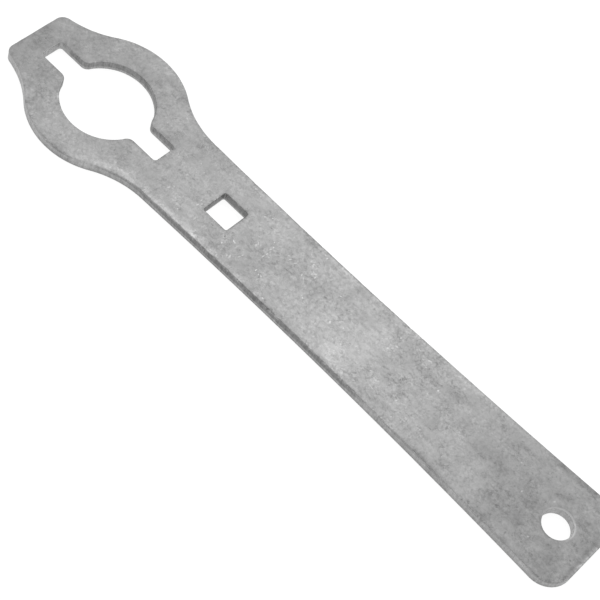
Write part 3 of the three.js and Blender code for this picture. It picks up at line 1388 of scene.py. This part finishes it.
@dataclass
class WrenchPlate:
    """The wrench: one plate with a slotted ring head, a square drive hole and a hang hole.

    Attributes:
        body: The body that it rides on.
        node: The solid that it stands for.
        slot: Its material slot; not used.
        nose_reach: From the flat end of the nose to the middle of the bore.
        seed: Seed of its dents.
    """

    body: str = "root"
    node: str = "wrench_plate"
    slot: str = "plated_steel"
    nose_reach: float = 33.0 * MM
    seed: int = 41

    # From the middle of the bore along the plate: where the deep burnish of its sides starts, is full,
    # is still full and has gone, and where the dark lines of the sides and the cap opening come up
    side_burnish: tuple[float, float, float, float] = (12 * MM, 48 * MM, 110 * MM, 130 * MM)
    side_line: Span = (-16 * MM, -4 * MM)
    cap_line: Span = (-24 * MM, -18 * MM)

    # Loose dents: how many to try on each face, half length, width against length, and depth
    loose_dents: int = 260
    dent_half_length: Span = (0.2 * MM, 0.5 * MM)
    dent_roundness: Span = (0.4, 0.9)
    dent_depth: Span = (0.008 * MM, 0.03 * MM)

    # Flecks, each a group of bright dashes: how many, the sizes of a dash, how much it shows, and how
    # far along X and Y the next one may be and how far turned, in radians
    fleck_group: tuple[int, int] = (1, 3)
    fleck_half_length: Span = (0.35 * MM, 0.9 * MM)
    fleck_half_width: Span = (0.2 * MM, 0.35 * MM)
    fleck_depth: float = 0.02 * MM
    fleck_strength: Span = (0.45, 1.0)
    fleck_spread: Span = (1.6 * MM, 1.2 * MM)
    fleck_swing: float = 0.4

    # Dark scratches
    scratch_half_width: float = 0.24 * MM
    scratch_depth: float = 0.03 * MM
    scratch_strength: float = 0.7

    # The most that patches add up to, dark or light; the x where the marks of tumbling start and are
    # full, and where they start to fade and have faded; and the share that is left then
    most_stain: float = 2.2
    tumble_rise: Span = (-110 * MM, 20 * MM)
    tumble_fall: Span = (50 * MM, 75 * MM)
    tumble_left: float = 0.5

    def smudges(self) -> list[Smudge]:
        """Lists the patches on the top face where the photograph shows them, with painted highlights and
        painted shade among the stains.

        Returns:
            The patches, dark and light.
        """
        # x, y, half length and half width in millimetres, turn in degrees, strength
        patches = [
            # Wide ones, partly uneven plating and partly painted highlight and painted shade that follow the
            # lamp's
            # falloff along the plate: the nose, the light head, the middle of the handle and its dull far
            # end
            (-113.0, -4.0, 8.0, 16.0, 0, 0.2), (-101.0, -16.0, 5.0, 5.0, 0, -0.6),
            (-90.0, -6.0, 16.0, 22.0, 0, -0.5), (2.0, 0.0, 12.0, 20.0, 0, 0.15),
            (23.0, -3.0, 9.0, 16.0, 0, -0.4), (98.0, 0.0, 26.0, 30.0, 0, 0.6),
            # Dark clouds and spots, from the head to the end
            (-82.0, 17.5, 6.0, 2.5, 0, 0.4), (-77.4, 17.3, 0.9, 0.7, 0, 1.2),
            (-65.6, -11.4, 2.5, 0.8, 20, 0.3), (-59.0, 7.0, 4.0, 3.0, 0, 0.4),
            (-44.0, 12.0, 1.5, 2.0, 60, 0.6), (-29.8, 11.0, 2.5, 2.5, 0, 0.7),
            (-17.9, 13.0, 0.8, 0.8, 0, 1.2), (-17.0, -3.0, 6.0, 4.0, 0, 0.35),
            (-12.3, -11.9, 1.2, 0.8, 0, 0.7), (-7.0, 12.9, 4.2, 1.2, -4, 1.1),
            (2.6, 12.2, 2.0, 1.0, 0, 0.6), (3.6, -13.2, 3.0, 1.0, 0, 0.7),
            (15.0, 13.6, 4.0, 1.2, 0, 0.6), (15.8, 2.8, 2.5, 2.0, 0, 0.7),
            (17.1, 12.0, 3.0, 1.5, 0, 0.6), (31.5, 10.5, 1.6, 1.2, -60, 0.9),
            (37.0, -2.5, 3.0, 2.0, 0, 0.5), (38.5, 7.6, 4.5, 1.6, -15, 0.8),
            (43.1, -12.2, 4.0, 1.8, 0, 0.9), (46.0, 7.0, 2.5, 1.6, 20, 0.8),
            (52.4, 7.6, 2.5, 2.0, 0, 0.7), (57.5, -4.8, 4.5, 3.0, -40, 0.9),
            (57.5, 8.6, 3.5, 2.2, 40, 0.8), (64.0, -15.3, 6.0, 0.8, -3, 1.0),
            (73.0, 0.6, 4.5, 2.0, 12, 0.8), (76.5, 2.0, 3.0, 2.0, 10, 0.6),
            (79.5, 11.5, 3.5, 1.4, 10, 0.6), (80.5, 1.5, 3.0, 2.6, -30, 0.9),
            (85.5, -14.5, 3.0, 1.0, 0, 0.8), (92.5, -1.0, 3.0, 2.5, 0, 0.4),
            (92.5, 15.6, 4.5, 0.9, -3, 1.3), (94.2, -8.5, 2.0, 3.0, 0, 0.7),
            (100.0, 16.2, 3.0, 1.0, 10, 1.1), (107.0, -11.5, 3.0, 4.5, 20, 0.6),
            (108.6, -14.8, 2.5, 1.5, 0, 0.7),
            # Dashes along the far end, and the light edge outside them
            (114.2, -11.1, 0.45, 0.7, 0, 1.8), (114.0, -8.3, 0.5, 1.3, 0, 1.9),
            (114.0, -4.3, 0.45, 0.8, 0, 1.1), (113.9, 0.0, 0.55, 1.5, 0, 1.6),
            (113.9, 3.4, 0.5, 0.9, 0, 1.4), (115.1, -2.0, 0.45, 14.0, 0, -1.8),
            # A faint dark arc beside the hang hole, light on its inner side
            (96.0, 5.0, 1.8, 0.6, 54, 0.7), (97.8, 7.6, 1.8, 0.6, 34, 0.7),
            (100.2, 9.4, 1.8, 0.6, 15, 0.5), (98.2, 5.7, 1.4, 0.8, 40, -0.8),
            # A painted highlight along the near edge of the head and handle, where the rounded edge catches
            # the light
            (-94.0, -20.6, 3.0, 1.5, -30, -1.0), (-77.4, -19.6, 9.0, 3.0, 15, -0.8),
            (-69.0, -15.6, 3.0, 1.5, 30, -0.6), (-64.5, -17.2, 7.0, 1.6, 28, -1.5),
            (-56.0, -14.5, 5.0, 1.3, 8, -1.8), (-46.6, -13.0, 3.0, 1.2, 0, -0.8),
            (-45.0, -14.4, 7.0, 1.1, 1, -2.0), (-31.0, -14.1, 8.0, 1.0, 0, -1.8),
            (-29.4, -12.8, 4.0, 1.2, 0, -0.9), (-20.8, -13.7, 5.0, 0.8, 0, -1.0),
            (-16.0, -13.9, 8.0, 0.9, 0, -0.8), (-4.0, -13.6, 3.0, 0.8, 0, -0.9),
            # A painted highlight along the far edge of the head and handle
            (-93.9, 19.9, 4.0, 2.5, 30, -0.9), (-82.5, 23.8, 9.0, 1.5, 0, -0.7),
            (-27.0, 13.9, 14.0, 0.7, -1, -0.6), (4.0, 13.8, 8.0, 1.0, 0, -0.7),
            (22.0, 13.9, 14.0, 0.7, 1, -0.6), (47.0, 14.3, 14.0, 0.7, 1, -0.7),
            (70.0, 15.0, 12.0, 0.7, 2, -0.7),
            # Light spots on the handle
            (21.0, -10.0, 2.5, 3.0, 0, -0.8), (37.5, -7.5, 1.3, 2.0, 10, -0.9),
            (66.0, -2.0, 3.0, 2.0, 0, -0.4), (69.5, 10.5, 2.2, 2.4, 20, -0.7),
            (74.5, -10.0, 5.0, 3.5, 0, -0.5), (93.3, -4.4, 2.5, 2.0, 0, -0.5),
            (97.0, -0.8, 0.8, 2.0, 0, -0.7), (107.0, 12.0, 3.0, 3.0, 0, -0.7),
            (109.5, -4.6, 1.5, 2.5, 0, -0.9),
        ]
        return [
            Smudge(x * MM, y * MM, half_length * MM, half_width * MM, turn, strength)
            for x, y, half_length, half_width, turn, strength in patches
        ]

    def photo_dings(self) -> list[Ding]:
        """Lists the marks on the top face where the photograph shows them.

        Returns:
            The dashes of the bright flecks, and the dark scratches.
        """
        rng = random.Random(self.seed)
        # x and y in millimetres
        flecks = [
            (-47.8, -7.6), (-40.6, -10.9), (-38.0, -5.1), (-35.0, -9.1), (-24.8, -7.1), (-21.9, -5.7),
            (-18.9, -10.8), (-16.0, -0.3), (-17.2, -8.2), (-12.8, -2.5), (-13.0, 1.2), (-8.1, 4.0),
            (-5.1, 3.5), (-10.8, -7.7), (-9.3, -8.2), (-8.3, -9.6), (-5.3, -10.0), (-3.9, -13.4),
            (-1.0, 2.1), (0.7, 4.9), (-0.9, 7.0), (-0.2, 12.6), (32.4, 5.6), (33.4, 5.2),
            (43.7, 11.9), (39.1, 11.3), (23.7, -9.5), (26.0, -3.0), (37.4, -6.8), (39.0, -8.5),
        ]
        # x, y and half length in millimetres, turn in degrees
        scratches = [(-4.5, -0.2, 3.4, 9), (36.7, -1.4, 2.2, 17), (38.7, -2.3, 1.2, 17)]
        spread_x, spread_y = self.fleck_spread
        dings = []
        for place in flecks:
            x, y = (value * MM for value in place)
            turn = rng.uniform(0, math.pi)
            for _ in range(rng.randint(*self.fleck_group)):
                half_length = rng.uniform(*self.fleck_half_length)
                half_width = rng.uniform(*self.fleck_half_width)
                strength = rng.uniform(*self.fleck_strength)
                dings.append(Ding(x, y, half_length, half_width, turn, self.fleck_depth, strength))
                x += rng.uniform(-spread_x, spread_x)
                y += rng.uniform(-spread_y, spread_y)
                turn += rng.uniform(-self.fleck_swing, self.fleck_swing)
        for x, y, half_length, turn in scratches:
            sizes = (half_length * MM, self.scratch_half_width, math.radians(turn), self.scratch_depth)
            dings.append(Ding(x * MM, y * MM, *sizes, self.scratch_strength, Trait.SCRATCH))
        return dings

    def scattered_dings(self, seed: int, kept: Sequence[Ding]) -> list[Ding]:
        """Scatters loose dents over a face, most of them on the middle of the handle.

        Args:
            seed: Seed of their places.
            kept: Dents that are already there.

        Returns:
            All the dents; a loose one keeps clear of those before it.
        """
        rng = random.Random(seed)
        low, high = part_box(self.node)
        dings = list(kept)
        for _ in range(self.loose_dents):
            x = rng.triangular(low.x, high.x, 0.0)
            y = rng.uniform(low.y, high.y)
            half_length = rng.uniform(*self.dent_half_length)
            half_width = half_length * rng.uniform(*self.dent_roundness)
            depth = rng.uniform(*self.dent_depth)
            strength = rng.uniform(0.0, 1.0) ** 2
            turn = rng.uniform(0, math.pi)
            spot = np.array(((x, y),))
            if not any(other.covers(spot, 2 * half_length)[0] for other in dings):
                dings.append(Ding(x, y, half_length, half_width, turn, depth, strength))
        return dings

    def edges(self) -> list[CutEdge]:
        """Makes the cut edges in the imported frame.

        Returns:
            The four edges, the outer one first.
        """
        low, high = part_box(self.node)
        thickness = high.z - low.z
        bore_x = low.x + self.nose_reach
        outlines = PlateOutlines(self.nose_reach, high.x - bore_x)
        shift = np.array((bore_x, 0.0))
        side_burnish = [bore_x + x for x in self.side_burnish]
        side_line = [bore_x + x for x in self.side_line]
        cap_line = [bore_x + x for x in self.cap_line]
        return [
            BlankedEdge(
                "outside", outlines.outside() + shift, False, thickness, 1,
                burnish_fades=side_burnish, line_fades=side_line, edge_dirt=0.9, foot_shade=0.8,
                far_side_lift=1.0, nicks=90,
            ),
            BlankedEdge(
                "cap opening", outlines.cap_opening() + shift, True, thickness, 2,
                burnish=0.81, burnish_share=0.64, line_fades=cap_line, edge_dirt=0.25, edge_wear_and_highlight=0.05,
                nicks=10, top_radius=0.25 * MM,
            ),
            BlankedEdge(
                "drive opening", outlines.drive_opening() + shift, True, thickness, 3,
                burnish=0.91, burnish_share=0.75, edge_dirt=0.4, far_side_lift=1.0, nicks=4,
                top_radius=0.3 * MM,
            ),
            DrilledEdge("hang hole", outlines.hang_hole() + shift, True, thickness, 4),
        ]

    def build(self) -> bpy.types.Object:
        """Makes the plate's mesh.

        Returns:
            The plate, riding on its body in place of the plain solid.
        """
        draft = MeshDraft()
        low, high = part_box(self.node)
        loops = [edge.build(draft) for edge in self.edges()]
        top_dings = self.scattered_dings(self.seed + 1, self.photo_dings())
        under_dings = self.scattered_dings(self.seed + 2, [])
        FlatFace(Side.TOP, high.z, top_dings).build(draft, [top for top, _ in loops])
        FlatFace(Side.UNDER, low.z, under_dings).build(draft, [under for _, under in loops])
        self.stain_and_painted_light(draft, (low.z + high.z) / 2)
        plate = draft.make("wrench_body")
        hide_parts(self.node)
        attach(plate, self.body)
        return plate

    def stain_and_painted_light(self, draft: MeshDraft, middle: float) -> None:
        """Puts the patches, stains and painted light, and the marks of tumbling on the top, and a turned
        copy on the underside.

        Args:
            draft: The finished mesh.
            middle: Height of the middle of the plate.
        """
        points = draft.points()
        top = points[:, 2] > middle
        flat = np.where(top[:, None], points[:, :2], points[:, :2] * (-1, 1))
        total = sum(smudge.at(flat) for smudge in self.smudges())
        draft.put(Trait.STAIN_AND_PAINTED_LIGHT, np.clip(total, -self.most_stain, self.most_stain))
        x = flat[:, 0]
        start, full = self.tumble_rise
        rises = np.clip((x - start) / (full - start), 0, 1)
        falls = 1 - (1 - self.tumble_left) * smooth_step(x, *self.tumble_fall)
        draft.put(Trait.TUMBLE, rises * falls)

    def dress(self, plate: bpy.types.Object, finish: PlatedSteel) -> None:
        """Gives the plate its finish."""
        plate.data.materials.append(finish.material())


@dataclass
class StudioFloor:
    """The plain pale floor that the wrench lies on.

    Attributes:
        half_side: Half the width of the floor.
        drop: How far it lies below the plate.
    """

    half_side: float = 3.0
    drop: float = 0.02 * MM

    def build(self) -> bpy.types.Object:
        """Makes the floor.

        Returns:
            The floor.
        """
        side = self.half_side
        corners = [(-side, -side), (side, -side), (side, side), (-side, side)]
        mesh = bpy.data.meshes.new("studio_floor")
        mesh.from_pydata([(x, y, -self.drop) for x, y in corners], [], [(0, 1, 2, 3)])
        floor = bpy.data.objects.new("studio_floor", mesh)
        bpy.context.scene.collection.objects.link(floor)
        return floor

    def dress(self, floor: bpy.types.Object, finish: LightTable) -> None:
        """Gives the floor its finish."""
        floor.data.materials.append(finish.material())


@dataclass(frozen=True)
class SoftBox:
    """A large soft lamp.

    Attributes:
        name: Name of the lamp.
        place: Where it stands.
        aim: The point that it faces.
        width: Width of its face.
        height: Height of its face.
        radiance: How bright its face is.
    """

    name: str
    place: tuple[float, float, float]
    aim: tuple[float, float, float]
    width: float
    height: float
    radiance: float

    def build(self) -> None:
        """Makes the lamp."""
        lamp = bpy.data.lights.new(self.name, "AREA")
        lamp.shape = "RECTANGLE"
        lamp.size = self.width
        lamp.size_y = self.height
        lamp.energy = self.radiance * math.pi * self.width * self.height
        holder = bpy.data.objects.new(self.name, lamp)
        holder.location = self.place
        holder.rotation_mode = "QUATERNION"
        holder.rotation_quaternion = (Vector(self.aim) - holder.location).to_track_quat("-Z", "Y")
        bpy.context.scene.collection.objects.link(holder)


FAR_SOFTBOX = SoftBox(
    "far_softbox", place=(-0.14, 0.42, 0.62), aim=(0.02, 0.0, 0.0), width=0.3, height=0.3, radiance=2.5
)


@dataclass
class Studio:
    """Soft even light from all round, with a soft lamp beyond the wrench that the plate mirrors.

    Attributes:
        sky: Brightness of the surroundings.
        lamps: The soft lamps.
    """

    sky: float = 0.88
    lamps: tuple[SoftBox, ...] = (FAR_SOFTBOX,)

    def build(self) -> None:
        """Makes the sky and the lamps, and shows colours as they are."""
        scene = bpy.context.scene
        world = bpy.data.worlds.new("studio_sky")
        world.use_nodes = True
        sky = world.node_tree.nodes["Background"]
        sky.inputs["Color"].default_value = WHITE
        sky.inputs["Strength"].default_value = self.sky
        scene.world = world
        scene.view_settings.view_transform = "Standard"
        for lamp in self.lamps:
            lamp.build()


@dataclass
class PhotoCamera:
    """The camera at the photograph's place.

    Attributes:
        target: The point on the underside that is in the middle of the picture.
        distance: From the target to the camera.
        azimuth: Way to the camera from the target, from +X towards +Y, in degrees.
        elevation: Its height above the floor, in degrees.
        roll: How far it is turned about its line of sight, in degrees.
        focal_pixels: Focal length, in pixels of the picture.
        sensor_width: Width of the sensor, in millimetres.
    """

    target: tuple[float, float, float] = (3.77 * MM, -2.67 * MM, 0.0)
    distance: float = 531.4 * MM
    azimuth: float = -66.88
    elevation: float = 54.89
    roll: float = -24.14
    focal_pixels: float = 1804.7
    sensor_width: float = 36.0

    def build(self) -> None:
        """Makes the camera and hands it to the scene."""
        camera = bpy.data.cameras.new("photo_camera")
        camera.sensor_width = self.sensor_width
        camera.lens = self.focal_pixels / IMAGE_SIDE * self.sensor_width
        turn, rise = math.radians(self.azimuth), math.radians(self.elevation)
        back = Vector((math.cos(rise) * math.cos(turn), math.cos(rise) * math.sin(turn), math.sin(rise)))
        holder = bpy.data.objects.new("photo_camera", camera)
        holder.rotation_mode = "QUATERNION"
        level = (-back).to_track_quat("-Z", "Y").to_matrix()
        rolled = level @ Matrix.Rotation(math.radians(-self.roll), 3, "Z")
        holder.rotation_quaternion = rolled.to_quaternion()
        holder.location = Vector(self.target) + back * self.distance
        bpy.context.scene.collection.objects.link(holder)
        bpy.context.scene.camera = holder


def main() -> None:
    """Builds the camera, the studio and the wrench in order."""
    PhotoCamera().build()
    log.info("camera placed")
    Studio().build()
    log.info("studio lit")
    stage = StudioFloor()
    floor = stage.build()
    stage.dress(floor, LightTable())
    log.info("%s laid", floor.name)
    wrench = WrenchPlate()
    plate = wrench.build()
    wrench.dress(plate, PlatedSteel())
    log.info("%s built: %d faces", plate.name, len(plate.data.polygons))


if __name__ == "__main__":
    logging.basicConfig(level=logging.INFO, format="%(message)s")
    main()
